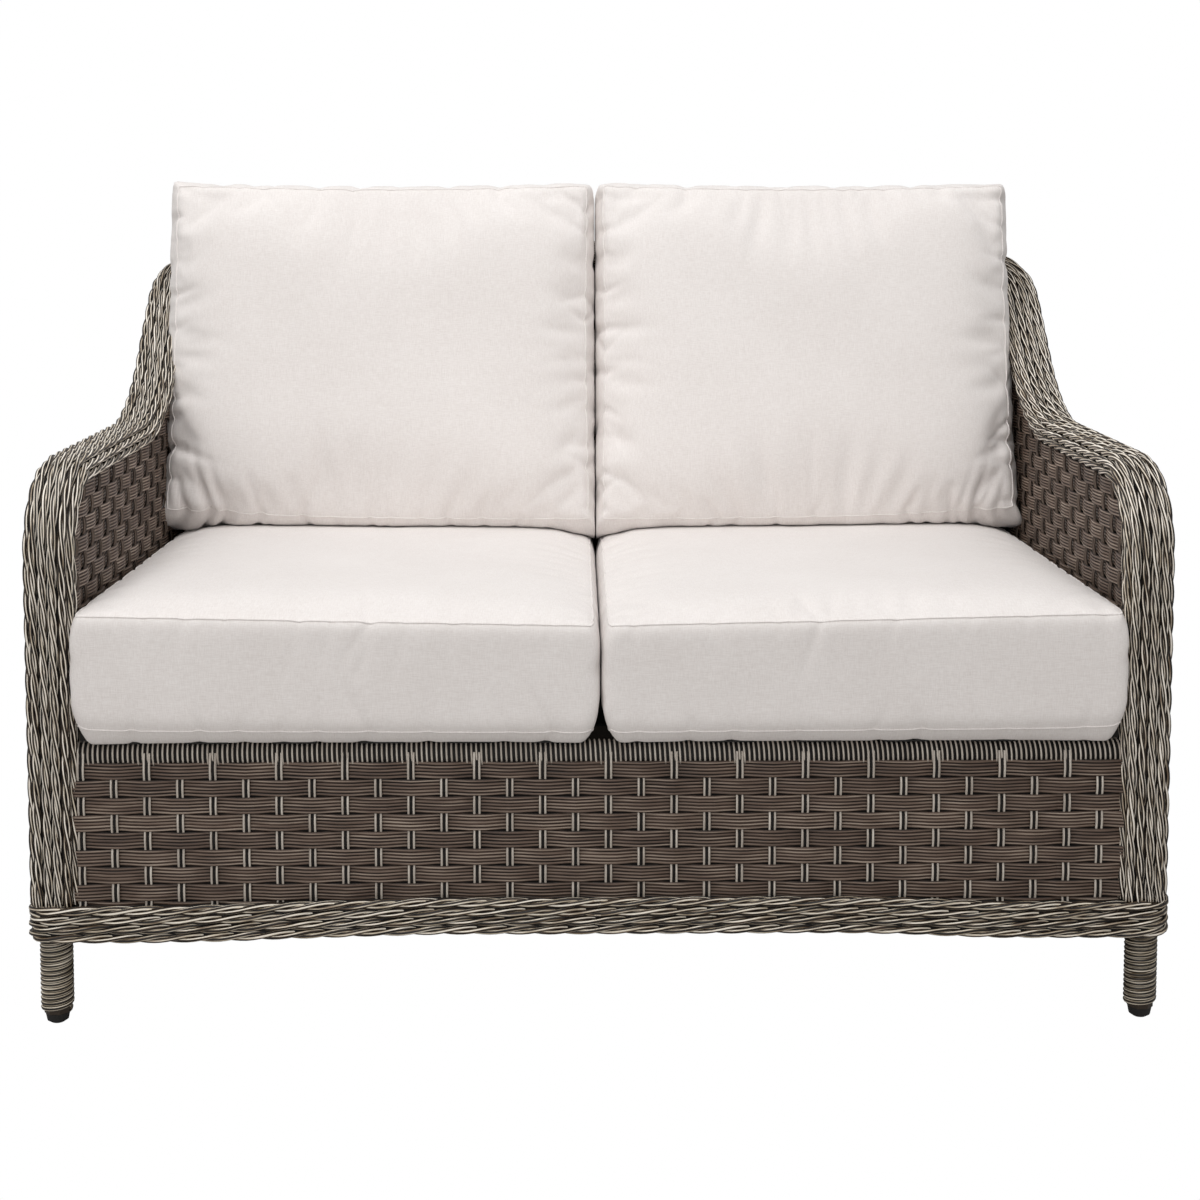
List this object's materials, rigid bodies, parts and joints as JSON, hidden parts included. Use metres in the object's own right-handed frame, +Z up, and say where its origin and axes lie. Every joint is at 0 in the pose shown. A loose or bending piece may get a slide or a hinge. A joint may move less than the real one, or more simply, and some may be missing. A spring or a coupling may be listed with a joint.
{
  "type": "patio loveseat",
  "caption": "Woven resin patio loveseat with braided curved arms, a basketweave skirt, a braided rim, wrapped legs and loose boxed seat and back cushions.",
  "frame": {"origin": "on the floor under the middle of the loveseat's bounding box", "axes": "+X to the right seen from the front, +Y towards the back, +Z up"},
  "size_m": [1.32, 0.85, 0.9621],
  "materials": {
    "frame": "satin",
    "braid": "matte",
    "weave": "matte",
    "wrap": "matte",
    "glide": "matte",
    "webbing": "matte",
    "cover": "matte",
    "core": "matte"
  },
  "bodies": {
    "frame": {"arm_braid_left": "braid", "arm_braid_right": "braid", "arm_tube_left": "frame", "arm_tube_right": "frame", "back_weave_inner": "weave", "back_weave_outer": "weave", "base_rail_front": "frame", "base_rail_left": "frame", "base_rail_rear": "frame", "base_rail_right": "frame", "deck_straps_cross": "webbing", "deck_straps_long": "webbing", "foot_glides": "glide", "front_rail_wrap": "wrap", "front_skirt_weave": "weave", "inner_weave_left": "weave", "inner_weave_right": "weave", "leg_wraps": "wrap", "outer_weave_left": "weave", "outer_weave_right": "weave", "rear_corner_weave_left": "weave", "rear_corner_weave_right": "weave", "rear_post_left": "frame", "rear_post_right": "frame", "rim_braid_front": "braid", "rim_braid_left": "braid", "rim_braid_rear": "braid", "rim_braid_right": "braid", "seat_cross_bars": "frame", "seat_rail_front": "frame", "seat_rail_left": "frame", "seat_rail_rear": "frame", "seat_rail_right": "frame", "top_rail_braid": "braid", "top_rail_tube": "frame"},
    "seat_cushion_left": {"seat_cover_left": "cover", "seat_foam_left": "core"},
    "seat_cushion_right": {"seat_cover_right": "cover", "seat_foam_right": "core"},
    "back_cushion_left": {"back_cover_left": "cover", "back_fill_left": "core"},
    "back_cushion_right": {"back_cover_right": "cover", "back_fill_right": "core"}
  },
  "joints": [
    {"name": "seat_cushion_left_out", "type": "slide", "parent": "frame", "child": "seat_cushion_left", "axis": [0, -1, 0], "range_m": [0, 0.7]},
    {"name": "back_cushion_left_lift", "type": "slide", "parent": "frame", "child": "back_cushion_left", "axis": [0, 0, 1], "range_m": [0, 0.5]},
    {"name": "seat_cushion_right_out", "type": "slide", "parent": "frame", "child": "seat_cushion_right", "axis": [0, -1, 0], "range_m": [0, 0.7]},
    {"name": "back_cushion_right_lift", "type": "slide", "parent": "frame", "child": "back_cushion_right", "axis": [0, 0, 1], "range_m": [0, 0.5]}
  ]
}
